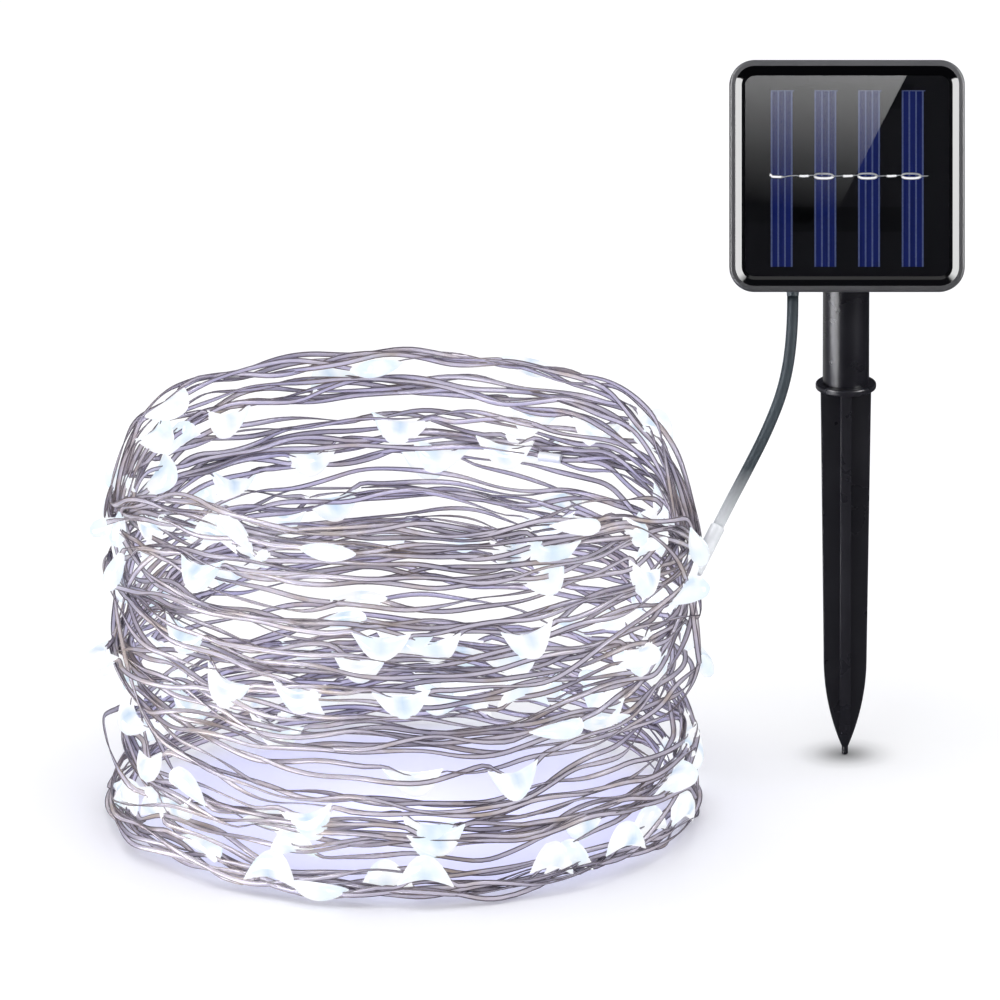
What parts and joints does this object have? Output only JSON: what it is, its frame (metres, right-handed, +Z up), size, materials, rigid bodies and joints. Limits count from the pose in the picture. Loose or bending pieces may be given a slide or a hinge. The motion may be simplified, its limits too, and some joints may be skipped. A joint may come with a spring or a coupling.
{
  "type": "solar string lights",
  "caption": "Square solar head that tilts on a two-piece ground stake, with a short lead to a loose drum-shaped coil of fine twin wire carrying clear resin light beads.",
  "frame": {"origin": "tip of the ground spike, which is level with the underside of the coil of lights", "axes": "+Z up along the stake, -Y the way the solar panel faces, +X across the panel with the coil of lights on the -X side"},
  "size_m": [0.2584, 0.1825, 0.2222],
  "materials": {
    "housing_plastic": "fine moulded grain",
    "bezel_plastic": "glossy black slope inside a satin grey-black rim",
    "seal_rubber": "matt",
    "screw_steel": "zinc plated",
    "gland_rubber": "satin",
    "cell_silicon": "dark blue silicon with printed silver lines",
    "tab_silver": "tinned",
    "clear_resin": "clear, polished",
    "board_black": "black solder mask",
    "battery_jacket": "printed-film jacket, plain",
    "holder_plastic": "moulded",
    "contact_nickel": "nickel plated",
    "circuit_green": "green solder mask",
    "component_black": "moulded epoxy",
    "component_copper": "enamelled copper winding on ferrite",
    "component_aluminium": "sleeved can",
    "wire_red": "insulated",
    "wire_black": "insulated",
    "button_rubber": "satin",
    "stake_plastic": "satin black moulding",
    "lead_pvc": "satin slate-grey jacket",
    "sleeve_pvc": "translucent moulded sleeve",
    "string_wire": "silvery twin wire in clear jacket, loosely wound",
    "bead_resin": "clear resin over a cool white light"
  },
  "bodies": {
    "bracket": {"hinge_bracket": "stake_plastic", "lead_cable": "lead_pvc", "joint_sleeve": "sleeve_pvc", "light_coil": "string_wire", "led_beads": "bead_resin", "end_cap": "sleeve_pvc"},
    "head": {"rear_housing": "housing_plastic", "front_bezel": "bezel_plastic", "housing_gasket": "seal_rubber", "housing_screws": "screw_steel", "cable_gland": "gland_rubber", "hinge_mount": "housing_plastic", "mount_screws": "screw_steel", "solar_cell_1": "cell_silicon", "solar_cell_2": "cell_silicon", "solar_cell_3": "cell_silicon", "solar_cell_4": "cell_silicon", "cell_tab": "tab_silver", "panel_resin": "clear_resin", "backing_board": "board_black", "battery": "battery_jacket", "battery_holder": "holder_plastic", "battery_plate": "contact_nickel", "battery_spring": "contact_nickel", "circuit_board": "circuit_green", "board_screws": "screw_steel", "button_switches": "component_black", "driver_chip": "component_black", "inductor": "component_copper", "capacitor": "component_aluminium", "panel_wires": "wire_red", "battery_wires": "wire_red", "lead_wires": "wire_black", "hinge_bolt": "screw_steel", "hinge_nut": "screw_steel"},
    "tube": {"stake_tube": "stake_plastic"},
    "spike": {"ground_spike": "stake_plastic"},
    "power_button": {"power_button": "button_rubber"},
    "mode_button": {"mode_button": "button_rubber"}
  },
  "joints": [
    {"name": "head_tilt", "type": "hinge", "parent": "bracket", "child": "head", "pos_m": [0, 0, 0.173], "axis": [-1, 0, 0], "range_deg": [-18, 62], "deforming": ["lead_cable"]},
    {"name": "tube_swivel", "type": "hinge", "parent": "bracket", "child": "tube", "pos_m": [0, 0, 0.15], "axis": [0, 0, 1], "continuous": true},
    {"name": "spike_pull", "type": "slide", "parent": "tube", "child": "spike", "axis": [0, 0, -1], "range_m": [0, 0.03]},
    {"name": "power_press", "type": "slide", "parent": "head", "child": "power_button", "axis": [0, -0.9511, 0.309], "range_m": [0, 0.0008], "stiffness_N_per_m": 900},
    {"name": "mode_press", "type": "slide", "parent": "head", "child": "mode_button", "axis": [0, -0.9511, 0.309], "range_m": [0, 0.0008], "stiffness_N_per_m": 900}
  ]
}
